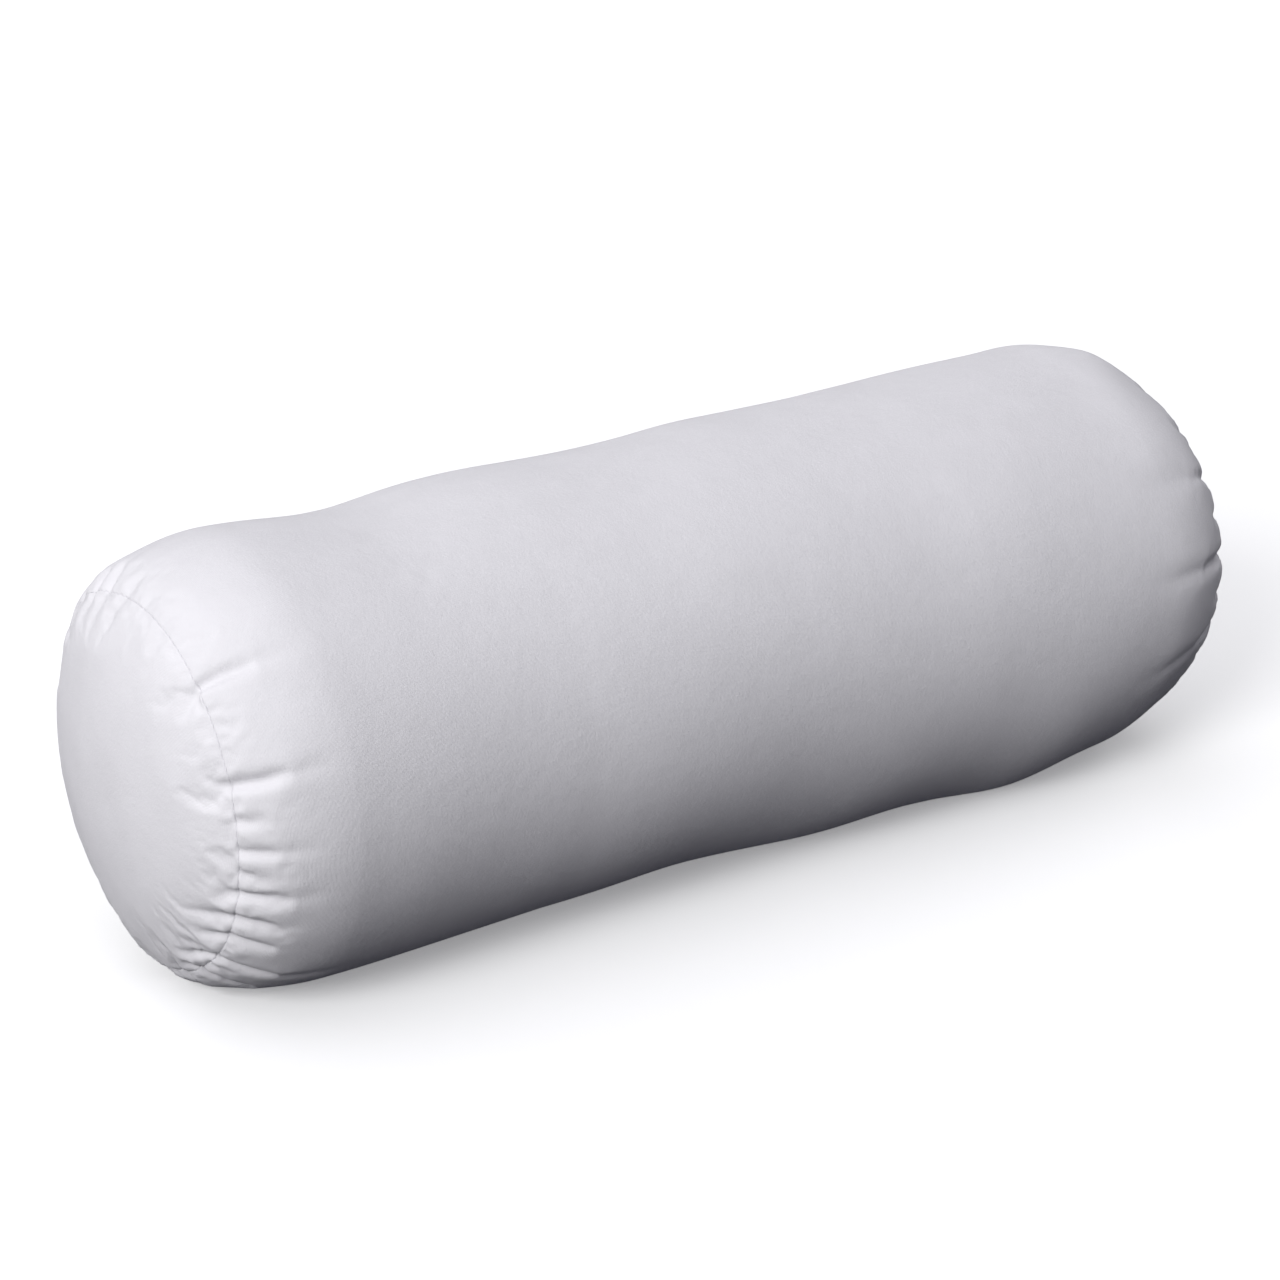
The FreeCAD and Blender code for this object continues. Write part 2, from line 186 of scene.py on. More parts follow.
def fold_depth(s, angle, folds, sharpness):
    """Sum of the folds' depths at each point; each is a valley with a low ridge on both sides."""
    total = np.zeros_like(s)
    for turn, reach, drift, reach_end, drift_end, depth in folds:
        reach_m, end_m = reach / 1000, reach_end / 1000
        along = np.where(s >= 0, s / reach_m, -s / end_m)
        swing = np.where(s >= 0, math.radians(drift), math.radians(drift_end))
        centre = math.radians(turn) + swing * np.clip(along, 0, 1.3)
        local_radius = np.where(s >= 0, SEAM_RADIUS + 0.35 * np.minimum(s, 0.045), SEAM_RADIUS + 0.8 * s)
        across = turn_between(angle, centre) * local_radius
        fade = 1 - smooth_step((along - 0.05) / 1.15)
        width = sharpness * (1.0 + 0.9 * np.clip(along, 0, 1.2))
        valley = np.exp(-np.abs(across / width)**1.6)
        ridges = 0.30 * np.exp(-((np.abs(across) - 2.5 * width) / (1.4 * width))**2)
        total += depth / 1000 * fade * (valley - ridges)
    return total


def gather_amount(rows, angles):
    """How much longer than its place the cloth is cut: rows by columns. Negative draws it in."""
    s = rows[:, 2][:, None]
    x = rows[:, 0][:, None]
    away = np.abs(s)
    tube = np.where(s > 0, np.exp(-(away / 0.017)**1.3), 0.0)
    dome = np.where(s < 0, 0.3 * np.exp(-(away / 0.009)**1.3), 0.0)
    low_front = 0.5 + 0.5 * np.cos(angles - math.radians(222))
    near = 0.02 + 0.26 * low_front**3
    far = np.full_like(angles, 0.20)
    side = np.where(x < 0, near[None, :], far[None, :])
    ring = np.abs(s) < 1e-6
    return np.where(ring, -0.02, 0.10 * (tube + dome) * side)


def hidden_folds(first, last):
    """Folds like the listed ones, for the side of an end seam that faces away."""
    folds = []
    turn = first
    while turn < last:
        folds.append((turn, rng.uniform(10, 34), rng.uniform(-2, 2), rng.uniform(3, 13), rng.uniform(-3, 3),
                      rng.uniform(0.6, 1.3)))
        turn += rng.uniform(7, 15)
    return folds


def settle(points, excess, pinned):
    """Cloth simulation: the cover settles under the pressure of its filling. Returns the new points."""
    n_rows, n_cols, _ = points.shape
    poles = np.array([points[0].mean(axis=0), points[-1].mean(axis=0)])
    verts = np.concatenate([points.reshape(-1, 3), poles])
    last = (n_rows - 1) * n_cols
    left_pole, right_pole = last + n_cols, last + n_cols + 1
    faces = []
    for c in range(n_cols):
        d = (c + 1) % n_cols
        faces.append((left_pole, d, c))
        faces.append((right_pole, last + c, last + d))
        for r in range(n_rows - 1):
            faces.append((r * n_cols + c, r * n_cols + d, (r + 1) * n_cols + d, (r + 1) * n_cols + c))
    mesh = bpy.data.meshes.new("cover_settling")
    mesh.from_pydata(verts.tolist(), [], faces)
    obj = bpy.data.objects.new("cover_settling", mesh)
    scene = bpy.context.scene
    scene.collection.objects.link(obj)
    pin = obj.vertex_groups.new(name="pin")
    cut = obj.vertex_groups.new(name="cut")
    for i, weight in enumerate(np.append(pinned.ravel(), [0.0, 0.0])):
        if weight > 0.001:
            pin.add([i], float(weight), "REPLACE")
    for i, extra in enumerate(np.append(excess.ravel(), [0.0, 0.0])):
        cut.add([i], float(0.5 - extra / 0.4), "REPLACE")
    cloth = obj.modifiers.new("cloth", "CLOTH")
    cloth.point_cache.frame_start = 1
    cloth.point_cache.frame_end = SIM_FRAMES
    cloth.collision_settings.use_collision = False
    cloth.collision_settings.use_self_collision = False
    s = cloth.settings
    s.quality = 6
    s.mass = 0.05
    s.tension_stiffness = s.compression_stiffness = 30
    s.shear_stiffness = 12
    s.bending_stiffness = 0.2
    s.tension_damping = s.compression_damping = s.shear_damping = 8
    s.air_damping = 2
    s.use_pressure = True
    s.uniform_pressure_force = 14
    s.vertex_group_mass = "pin"
    s.vertex_group_shrink = "cut"
    s.shrink_min = -0.2
    s.shrink_max = 0.2
    s.effector_weights.gravity = 0.0
    for f in range(1, SIM_FRAMES + 1):
        scene.frame_set(f)
    settled = obj.evaluated_get(bpy.context.evaluated_depsgraph_get()).to_mesh()
    out = np.empty(len(verts) * 3)
    settled.vertices.foreach_get("co", out)
    scene.frame_set(1)
    bpy.data.objects.remove(obj)
    return out.reshape(-1, 3)[:-2].reshape(n_rows, n_cols, 3)


def cubic(a, b, c, d, t):
    """Catmull-Rom curve through b and c."""
    return b + 0.5 * t * (c - a + t * (2 * a - 5 * b + 4 * c - d + t * (3 * (b - c) + d - a)))


def refine(grid):
    """Twice as many rows and columns, on smooth curves through the ones there are."""
    middle = cubic(np.roll(grid, 1, 1), grid, np.roll(grid, -1, 1), np.roll(grid, -2, 1), 0.5)
    wide = np.stack([grid, middle], axis=2).reshape(grid.shape[0], -1, grid.shape[2])
    padded = np.concatenate([2 * wide[:1] - wide[1:2], wide, 2 * wide[-1:] - wide[-2:-1]])
    between = cubic(padded[:-3], padded[1:-2], padded[2:-1], padded[3:], 0.5)
    tall = np.empty((2 * len(wide) - 1, wide.shape[1], wide.shape[2]))
    tall[0::2] = wide
    tall[1::2] = between
    return tall


def blur(grid, passes):
    """Evens a grid out along and around."""
    for _ in range(passes):
        grid = 0.5 * grid + 0.25 * (np.roll(grid, 1, 1) + np.roll(grid, -1, 1))
        inner = 0.5 * grid[1:-1] + 0.25 * (grid[:-2] + grid[2:])
        grid = np.concatenate([grid[:1], inner, grid[-1:]])
    return grid


def normals_of(grid, closed=True):
    """Outward unit normals of a grid whose rows run along +X and whose columns turn about it."""
    if closed:
        around = np.roll(grid, -1, 1) - np.roll(grid, 1, 1)
    else:
        around = np.gradient(grid, axis=1)
    along = np.gradient(grid, axis=0)
    n = np.cross(around, along)
    return n / np.maximum(np.linalg.norm(n, axis=2, keepdims=True), 1e-12)


def angle_of(points):
    """Angle of each point round the roll, from the rear (+Y) upwards."""
    return np.arctan2(points[..., 2] - AXIS_Z, points[..., 1])


def folds_at(s, turn, is_near, folds, near_sharpness, far_sharpness):
    """Depth of the folds of the near end (low x) and of the far end."""
    near_end = fold_depth(s, turn, folds[0], near_sharpness)
    far_end = fold_depth(s, turn, folds[1], far_sharpness)
    return np.where(is_near, near_end, far_end)


def pinned_places(start, turn):
    """1 where the cloth is held while it settles: beside the zip and on the floor."""
    beside_zip = np.abs(turn_between(turn, ZIP_ANGLE)) * RADIUS
    by_zip = (1 - smooth_step((beside_zip - 0.014) / 0.008)) * (np.abs(start[..., 0]) < 0.186)
    on_floor = (start[..., 2] < 0.0004) & (np.abs(start[..., 0]) < 0.215)
    return np.maximum(by_zip, on_floor)


def sunk_by(points, s, folds):
    """Depth of everything that is drawn into the settled cloth: folds, seams and stitch rows."""
    turn = angle_of(points)
    is_near = points[..., 0] < 0
    depth = 0.85 * folds_at(s, turn, is_near, folds, 0.0014, 0.0018)
    depth = depth * np.where(s < 0, 0.65, 1.0)
    lower_front = 0.5 + 0.5 * np.cos(turn - math.radians(215))
    seam = np.where(is_near, 0.00010 + 0.00035 * lower_front**2, 0.0005)
    depth += seam * np.exp(-np.abs(s / 0.0022)**1.5)
    beside_zip = np.abs(turn_between(turn, ZIP_ANGLE)) * RADIUS
    past_zip = smooth_step((np.abs(points[..., 0]) - 0.174) / 0.01) * (s > 0)
    depth += past_zip * 0.0012 * np.exp(-np.abs(beside_zip / 0.0019)**1.6)
    beside_row = np.abs(beside_zip - STITCH_OFFSET)
    stitched = 1 - smooth_step((np.abs(points[..., 0]) - STITCH_HALF_LENGTH) / 0.003)
    return depth + stitched * 0.00045 * np.exp(-(beside_row / 0.0013)**2)


def make_cover():
    """(fine grid of the settled cover, each point's distance from its end seam, grid as simulated)."""
    rows = profile()
    angles = ZIP_ANGLE + 2 * math.pi * (np.arange(COLUMNS) + 0.5) / COLUMNS
    start = first_shape(rows, angles)
    s = rows[:, 2][:, None] + 0 * start[..., 0]
    turn = angle_of(start)
    pinned = pinned_places(start, turn)
    folds = (NEAR_FOLDS + hidden_folds(254, 436), FAR_FOLDS + hidden_folds(250, 422))
    seed = folds_at(s, turn, rows[:, 0][:, None] < 0, folds, 0.0026, 0.0026) * (1 - pinned)
    start -= normals_of(start) * seed[..., None] * 0.6
    rough = rng.normal(0, 0.00005, start.shape) * np.exp(-np.abs(s) / 0.02)[..., None]
    settled = start
    settled = settle(start + rough * (1 - pinned)[..., None], gather_amount(rows, angles), pinned)
    fine = refine(np.concatenate([settled, s[..., None]], axis=2))
    points, s = fine[..., :3], fine[..., 3]
    depth = sunk_by(points, s, folds)
    out = unit(blur(normals_of(points), 2))
    on_floor = points[..., 2] < 0.0008
    points = points - out * np.where(on_floor, 0.3 * depth, depth)[..., None]
    points[..., 2] = np.maximum(points[..., 2], 0.0)
    return points, s, settled


# ---------------------------------------------------------------- meshes

def add_mesh(name, verts, faces, smooth=True):
    """A new mesh object in the scene."""
    mesh = bpy.data.meshes.new(name)
    mesh.from_pydata(np.asarray(verts).reshape(-1, 3).tolist(), [], [tuple(int(i) for i in f) for f in faces])
    if smooth:
        mesh.shade_smooth()
    obj = bpy.data.objects.new(name, mesh)
    bpy.context.scene.collection.objects.link(obj)
    return obj


def grid_faces(n_rows, n_cols, start=0, closed=True, flip=False, keep=None):
    """Quads of a grid of points, wound to face the same way as normals_of points."""
    r, c = np.meshgrid(np.arange(n_rows - 1), np.arange(n_cols if closed else n_cols - 1), indexing="ij")
    if keep is not None:
        r, c = r[keep], c[keep]
    r, c = r.ravel(), c.ravel()
    d = (c + 1) % n_cols
    quads = np.stack([r * n_cols + c, r * n_cols + d, (r + 1) * n_cols + d, (r + 1) * n_cols + c], axis=1)
    if flip:
        quads = quads[:, ::-1]
    return quads + start


def seam_rows(ring, inward, away):
    """Rows of cloth that turn down into an end seam, from the surface to the end of the allowance."""
    steps = [(0.00045, 0.00002), (0.00020, 0.00010), (0.00008, 0.00030), (0.00005, 0.0012), (0.00005, 0.0030)]
    return [ring + away * side + inward * down for side, down in steps]


def unit(a):
    """The same vectors, one unit long."""
    return a / np.maximum(np.linalg.norm(a, axis=-1, keepdims=True), 1e-12)


def split_panels(points, s):
    """(left end, body, right end) grids, each with its seam allowances."""
    at_seam = np.where(np.abs(s[:, 0]) < 1e-6)[0]
    left, right = int(at_seam[0]), int(at_seam[-1])
    normal = blur(normals_of(points), 2)
    panels = []
    for seam, step in ((left, 1), (right, -1)):
        ring = points[seam]
        inward = -unit(normal[seam])
        to_body = unit(points[seam + 3 * step] - ring)
        to_dome = unit(points[seam - 3 * step] - ring)
        panels.append((seam_rows(ring, inward, to_body), seam_rows(ring, inward, to_dome)))
    (left_body, left_dome), (right_body, right_dome) = panels
    body = np.concatenate([np.array(left_body[::-1]), points[left + 1:right], np.array(right_body)])
    left_end = np.concatenate([points[:left], np.array(left_dome)])
    right_end = np.concatenate([np.array(right_dome[::-1]), points[right + 1:]])
    return left_end, body, right_end


def hole_edge(grid, inner, hole, count):
    """Points and quads that round off the cloth's edge at a hole; count points come before them."""
    n_rows, n_cols, _ = grid.shape
    r0, r1, c0, c1 = hole
    loop = [(r0, c) for c in range(c0, c1)] + [(r, c1) for r in range(r0, r1)]
    loop += [(r1, c) for c in range(c1, c0, -1)] + [(r, c0) for r in range(r1, r0, -1)]
    index = np.array([r * n_cols + c % n_cols for r, c in loop])
    rim = grid.reshape(-1, 3)[index]
    down = unit(inner.reshape(-1, 3)[index] - rim)
    tangent = np.roll(rim, -1, 0) - np.roll(rim, 1, 0)
    inwards = unit(np.cross(tangent, down))
    if np.einsum("ij,ij->i", inwards, rim.mean(axis=0) - rim).mean() < 0:
        inwards = -inwards
    verts, faces, rings = [], [], [index]
    for side, depth in ((0.00022, 0.00008), (0.00034, 0.00030), (0.00022, 0.00052)):
        verts.append(rim + inwards * side + down * depth)
        rings.append(count + np.arange(len(index)))
        count += len(index)
    rings.append(index + n_rows * n_cols)
    for a, b in zip(rings[:-1], rings[1:]):
        quads = np.stack([a, b, np.roll(b, -1), np.roll(a, -1)], axis=1)
        faces.append(quads[:, ::-1])
    return verts, faces


def shell(name, grid, thickness, pole=None, hole=None):
    """A closed skin of cloth from a grid. pole is the row (0 or -1) that closes on the axis, and
    hole a block of quads that is left out: first row, last row, first column, last column."""
    n_rows, n_cols, _ = grid.shape
    inner = grid - normals_of(grid) * thickness
    verts = [grid.reshape(-1, 3), inner.reshape(-1, 3)]
    under = n_rows * n_cols
    keep = np.ones((n_rows - 1, n_cols), bool)
    if hole is not None:
        r0, r1, c0, c1 = hole
        keep[r0:r1, np.arange(c0, c1) % n_cols] = False
    faces = [grid_faces(n_rows, n_cols, keep=keep), grid_faces(n_rows, n_cols, under, flip=True, keep=keep)]
    count = 2 * under
    for row, is_last in ((0, False), (-1, True)):
        a = np.arange(n_cols) + is_last * (n_rows - 1) * n_cols
        b = np.roll(a, -1)
        if pole == row:
            verts.append(np.array([grid[row].mean(axis=0), inner[row].mean(axis=0)]))
            for base, tip, forward in ((0, count, is_last), (under, count + 1, not is_last)):
                fan = np.stack([base + a, base + b, np.full(n_cols, tip)], axis=1)
                faces.append(fan if forward else fan[:, [1, 0, 2]])
            count += 2
        else:
            quads = np.stack([a, b, under + b, under + a], axis=1)
            faces.append(quads if is_last else quads[:, ::-1])
    if hole is not None:
        edge_verts, edge_faces = hole_edge(grid, inner, hole, count)
        verts += edge_verts
        faces += edge_faces
    return add_mesh(name, np.concatenate(verts), [face for block in faces for face in block.tolist()])


def tidy_normals(obj):
    """Makes every face of a closed mesh point outwards."""
    work = bmesh.new()
    work.from_mesh(obj.data)
    bmesh.ops.recalc_face_normals(work, faces=work.faces)
    work.to_mesh(obj.data)
    work.free()


def slab(name, top, thickness, outwards):
    """A closed strip of cloth: an open grid and the same grid a thickness behind it."""
    n_rows, n_cols, _ = top.shape
    under = top - outwards * thickness
    count = n_rows * n_cols
    faces = [grid_faces(n_rows, n_cols, closed=False)]
    faces.append(grid_faces(n_rows, n_cols, count, closed=False, flip=True))
    edge = list(range(n_cols))
    edge += [r * n_cols + n_cols - 1 for r in range(1, n_rows)]
    edge += [(n_rows - 1) * n_cols + c for c in range(n_cols - 2, -1, -1)]
    edge += [r * n_cols for r in range(n_rows - 2, 0, -1)]
    edge = np.array(edge)
    following = np.roll(edge, -1)
    faces.append(np.stack([following, edge, edge + count, following + count], axis=1))
    verts = np.concatenate([top.reshape(-1, 3), under.reshape(-1, 3)])
    obj = add_mesh(name, verts, np.concatenate(faces).tolist())
    tidy_normals(obj)
    return obj


def tubes(name, paths, radius, sides=6, closed=False, taper=False):
    """One mesh of round threads or wires along paths of points."""
    verts, faces, start = [], [], 0
    turn = 2 * math.pi * np.arange(sides) / sides
    for path in paths:
        path = np.asarray(path)
        if closed:
            tangent = unit(np.roll(path, -1, 0) - np.roll(path, 1, 0))
        else:
            tangent = unit(np.gradient(path, axis=0))
        lead = np.where(np.abs(tangent[:, :1]) < 0.8, [[1.0, 0.0, 0.0]], [[0.0, 0.0, 1.0]])
        a = unit(np.cross(tangent, lead))
        b = np.cross(tangent, a)
        size = np.full(len(path), radius)
        if taper:
            size[[0, -1]] *= 0.6
        ring = np.cos(turn)[None, :, None] * a[:, None] + np.sin(turn)[None, :, None] * b[:, None]
        verts.append((path[:, None] + ring * size[:, None, None]).reshape(-1, 3))
        quads = grid_faces(len(path), sides, start)
        faces += quads.tolist()
        last = start + (len(path) - 1) * sides
        if closed:
            c = np.arange(sides)
            d = (c + 1) % sides
            faces += np.stack([last + c, last + d, start + d, start + c], axis=1).tolist()
        else:
            faces.append([start + i for i in range(sides)])
            faces.append([last + i for i in range(sides)][::-1])
        start += len(path) * sides
    obj = add_mesh(name, np.concatenate(verts), faces)
    tidy_normals(obj)
    return obj


def surface_line(points, normals, angle, xs):
    """Points and outward normals of a grid along the roll at one angle, for rising values of x."""
    past = turn_between(angle_of(points[len(points) // 2]), angle)
    before = int(np.argmax(np.where(past <= 0, past, -10.0)))
    after = (before + 1) % points.shape[1]
    share = -past[before] / (past[after] - past[before])
    line = points[:, before] * (1 - share) + points[:, after] * share
    lean = normals[:, before] * (1 - share) + normals[:, after] * share
    rising = np.concatenate([[True], np.diff(np.maximum.accumulate(line[:, 0])) > 1e-7])
    where = np.stack([np.interp(xs, line[rising, 0], line[rising, i]) for i in range(3)], axis=1)
    out = np.stack([np.interp(xs, line[rising, 0], lean[rising, i]) for i in range(3)], axis=1)
    return where, unit(out)


def running_stitches(name, points, angle, x0, x1, sink=0.0, pitch=0.0030, length=0.0023):
    """Separate stitches along the roll, each going down into the cloth at both ends."""
    normals = normals_of(points)
    paths = []
    for middle in np.arange(x0 + pitch / 2, x1 - pitch / 2 + 1e-9, pitch):
        xs = middle + length * np.array([-0.5, -0.36, -0.15, 0.15, 0.36, 0.5])
        where, out = surface_line(points, normals, angle, xs)
        lift = np.array([-0.00028, 0.00005, 0.00014, 0.00014, 0.00005, -0.00028]) - sink
        paths.append(where + out * lift[:, None])
    return tubes(name, paths, 0.00020, taper=True)


def zip_point(x, across, out):
    """World place of a point given along the zip, across it and out from the roll's axis."""
    x, across, out = np.broadcast_arrays(x, across, out)
    y = out * math.cos(ZIP_ANGLE) - across * math.sin(ZIP_ANGLE)
    z = AXIS_Z + out * math.sin(ZIP_ANGLE) + across * math.cos(ZIP_ANGLE)
    return np.stack([x, y, z], axis=-1)


# ---------------------------------------------------------------- sewn pieces

def cover_panels(points, s):
    """The cover's three panels, the body's with its slot for the zip."""
    left_end, body, right_end = split_panels(points, s)
    turn = angle_of(body[len(body) // 2])
    half_step = math.pi / COLUMNS
    first = int(np.argmin(np.abs(turn_between(turn, ZIP_ANGLE - 4 * half_step))))
    last = int(np.argmin(np.abs(turn_between(turn, ZIP_ANGLE + 4 * half_step))))
    if last < first:
        last += body.shape[1]
    x = body[:, first % body.shape[1], 0]
    r0 = int(np.argmin(np.abs(x + SLOT_HALF_LENGTH)))
    r1 = int(np.argmin(np.abs(x - SLOT_HALF_LENGTH)))
    made = {
        "cover_body": shell("cover_body", body, CLOTH, hole=(r0, r1, first, last)),
        "cover_left_end": shell("cover_left_end", left_end, CLOTH, pole=0),
        "cover_right_end": shell("cover_right_end", right_end, CLOTH, pole=-1),
    }
    tidy_normals(made["cover_body"])
    for name, obj in made.items():
        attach(obj, "roll")
        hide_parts(f"{name}_panel")
        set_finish(obj, "cover_cloth")
    return made


def resample(ring, t):
    """Values of a closed ring of vectors at fractional places t."""
    closed = np.concatenate([ring, ring[:1]])
    places = np.arange(len(closed))
    return np.stack([np.interp(t, places, closed[:, i]) for i in range(3)], axis=1)


def end_seam_thread(name, node, ring, inward, along, depth):
    """A thread that zigzags between the two edges of an end seam, down in its crease."""
    t = np.linspace(0, len(ring), 3 * len(ring), endpoint=False)
    down = unit(resample(inward, t))
    side = unit(resample(along, t))
    wave = 2 * math.pi * t / len(ring) * round(len(ring) / 3)
    dip = (depth + 0.00015 * np.sin(wave))[:, None]
    path = resample(ring, t) + down * dip + side * 0.00008 * np.cos(wave)[:, None]
    obj = tubes(name, [path], 0.00017, sides=5, closed=True)
    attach(obj, "roll")
    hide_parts(node)
    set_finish(obj, "cover_thread")
    return obj


def stitch_row(name, node, *route):
    """Running stitches that stand for one node, along the route that running_stitches takes."""
    obj = running_stitches(name, *route)
    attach(obj, "roll")
    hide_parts(node)
    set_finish(obj, "cover_thread")
    return obj


def threads(points, s):
    """Every thread that shows on the cover."""
    made = []
    at_seam = np.where(np.abs(s[:, 0]) < 1e-6)[0]
    normal = blur(normals_of(points), 2)
    for name, row, step in (("cover_left_seam", at_seam[0], 1), ("cover_right_seam", at_seam[-1], -1)):
        along = unit(points[row + 3 * step] - points[row])
        made.append(end_seam_thread(name, f"{name}_thread", points[row], -unit(normal[row]), along, 0.00024))
    for name, side in (("zip_upper_stitching", 1), ("zip_lower_stitching", -1)):
        angle = ZIP_ANGLE + side * STITCH_OFFSET / RADIUS
        made.append(stitch_row(f"{name}_row", name, points, angle, -STITCH_HALF_LENGTH, STITCH_HALF_LENGTH))
    for name, x0, x1 in (("back_seam_left_stitching", -BACK_SEAM[1], -BACK_SEAM[0]),
                         ("back_seam_right_stitching", *BACK_SEAM)):
        made.append(stitch_row(f"{name}_row", name, points, ZIP_ANGLE, x0, x1, 0.0001))
    return made


def zip_tapes():
    """The two woven tapes under the edges of the slot."""
    made = []
    for name, side in (("zip_upper_tape", 1), ("zip_lower_tape", -1)):
        xs = np.linspace(-TAPE_HALF_LENGTH, TAPE_HALF_LENGTH, 240)[:, None]
        across = side * np.linspace(0.0012, 0.0142, 14)[None, :]
        if side < 0:
            across = across[:, ::-1]
        out = np.sqrt((TAPE_RADIUS + 0.00055)**2 - across**2) + 0.00004 * np.sin(xs * 900 + side)
        outwards = unit(zip_point(xs, across, out) - zip_point(xs, 0 * across, 0 * out))
        obj = slab(f"{name}_strip", zip_point(xs, across, out), 0.0005, outwards)
        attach(obj, "roll")
        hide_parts(name)
        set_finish(obj, "zip_tape")
        made.append(obj)
    return made


def zip_coils():
    """Each row is one wire wound in flat loops round a cord, with the thread that holds it down."""
    made = []
    for name, side, lead in (("zip_upper_teeth", 1, 0.5), ("zip_lower_teeth", -1, 1.0)):
        turns = (CHAIN_END - CHAIN_START) / TOOTH_PITCH - 1.2
        phase = np.linspace(0, 2 * math.pi * turns, int(turns * 14))
        x = CHAIN_START + TOOTH_PITCH * (lead + phase / (2 * math.pi))
        swing = np.sign(np.cos(phase)) * np.abs(np.cos(phase))**0.75
        across = side * (0.00130 - 0.00185 * swing)
        out = COIL_OUT + 0.00068 * np.sin(phase)
        cord_x = np.linspace(CHAIN_START + 0.0006, CHAIN_END - 0.0006, 180)
        cord = zip_point(cord_x, side * 0.00165, COIL_OUT)
        held_x = np.linspace(CHAIN_START + 0.001, CHAIN_END - 0.001, 1500)
        ripple = 0.00010 * np.cos(2 * math.pi * (held_x - CHAIN_START) / TOOTH_PITCH)
        top = COIL_OUT + 0.00076 + ripple
        held = [zip_point(held_x, side * offset, top) for offset in (0.0018, 0.0024)]
        coil = tubes(f"{name}_coil", [zip_point(x, across, out)], 0.00028)
        core = tubes(f"{name}_cord", [cord], 0.00030, sides=8)
        holding = tubes(f"{name}_thread", held, 0.00010, sides=5)
        for obj, slot in ((coil, "zip_coil"), (core, "zip_tape"), (holding, "cover_thread")):
            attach(obj, "roll")
            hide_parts(name)
            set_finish(obj, slot)
            made.append(obj)
    return made


def care_label(points):
    """A blank ribbon folded in two, its ends caught in the back seam."""
    across = np.linspace(*LABEL_ENDS, 9)
    drop = LABEL_DROP
    leaf = np.linspace(0.0006, drop - 0.0004, 22)
    down = np.concatenate([leaf, [drop + 0.0001], leaf[::-1]])
    curl = 0.0016 * smooth_step(down / drop)**2
    lift = np.concatenate([np.full(22, 0.00045), [0.00075], np.full(22, 0.00105)]) + curl
    lift[:3] -= np.array([0.0002, 0.0001, 0.0])
    lift[-3:] -= np.array([0.0, 0.0003, 0.0006])
    normals = normals_of(points)
    rows = []
    for d, up in zip(down, lift):
        where, out = surface_line(points, normals, ZIP_ANGLE - d / 0.0875, across)
        rows.append(where + out * up)
    grid = np.array(rows)
    face = unit(np.cross(np.gradient(grid, axis=0), np.gradient(grid, axis=1)))
    obj = slab("care_label_ribbon", grid, 0.00018, face)
    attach(obj, "roll")
    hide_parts("care_label")
    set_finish(obj, "label_satin")
    return obj


def inside(settled):
    """Liner panels, their threads and the filling, under the cover."""
    base = blur(settled, 6)
    normal = unit(blur(normals_of(base), 4))
    liner = (base - normal * LINER_DEPTH)[:, ::2]
    fill = (base - normal * (LINER_DEPTH + 0.0016))[:, ::2]
    rows = profile()
    seams = np.where(np.abs(rows[:, 2]) < 1e-9)[0]
    left, right = int(seams[0]), int(seams[-1])
    made = {
        "liner_body": shell("liner_body", liner[left + 1:right], 0.0004),
        "liner_left_end": shell("liner_left_end", liner[:left], 0.0004, pole=0),
        "liner_right_end": shell("liner_right_end", liner[right + 1:], 0.0004, pole=-1),
    }
    for name, obj in made.items():
        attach(obj, "roll")
        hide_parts(f"{name}_panel")
        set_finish(obj, "liner_cloth")
        tidy_normals(obj)
    sewn = []
    for name, row in (("liner_left_seam", left), ("liner_right_seam", right)):
        along = unit(liner[row + 1] - liner[row])
        obj = end_seam_thread(name, f"{name}_thread", liner[row], -normal[row, ::2], along, -0.0001)
        sewn.append(obj)
    sewn.append(stitch_row("liner_closing_row", "liner_closing_stitching", liner, math.radians(90),
                           -0.19, 0.19, 0.0, 0.006, 0.0045))
    return made, sewn, filling(fill)


def filling(fill):
    """The fibre that stuffs the liner, as one closed shape."""
    n_rows, n_cols, _ = fill.shape
    verts = np.concatenate([fill.reshape(-1, 3), [fill[0].mean(axis=0), fill[-1].mean(axis=0)]])
    faces = grid_faces(n_rows, n_cols).tolist()
    end = (n_rows - 1) * n_cols
    for c in range(n_cols):
        d = (c + 1) % n_cols
        faces.append((n_rows * n_cols, d, c))
        faces.append((n_rows * n_cols + 1, end + c, end + d))
    stuffing = add_mesh("fibre_stuffing", verts, faces)
    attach(stuffing, "roll")
    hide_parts("fibre_filling")
    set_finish(stuffing, "filling")
    return stuffing


# ---------------------------------------------------------------- materials

def new_material(name, color, roughness):
    """(material, its node tree, its shader)."""
    mat = bpy.data.materials.new(name)
    mat.use_nodes = True
    shader = mat.node_tree.nodes["Principled BSDF"]
    shader.inputs["Base Color"].default_value = (*color, 1)
    shader.inputs["Roughness"].default_value = roughness
    return mat, mat.node_tree, shader


def node(tree, kind, **values):
    """A new node with the given settings and unlinked inputs."""
    made = tree.nodes.new(kind)
    for key, value in values.items():
        if hasattr(made, key):
            setattr(made, key, value)
        else:
            made.inputs[key.replace("_", " ")].default_value = value
    return made


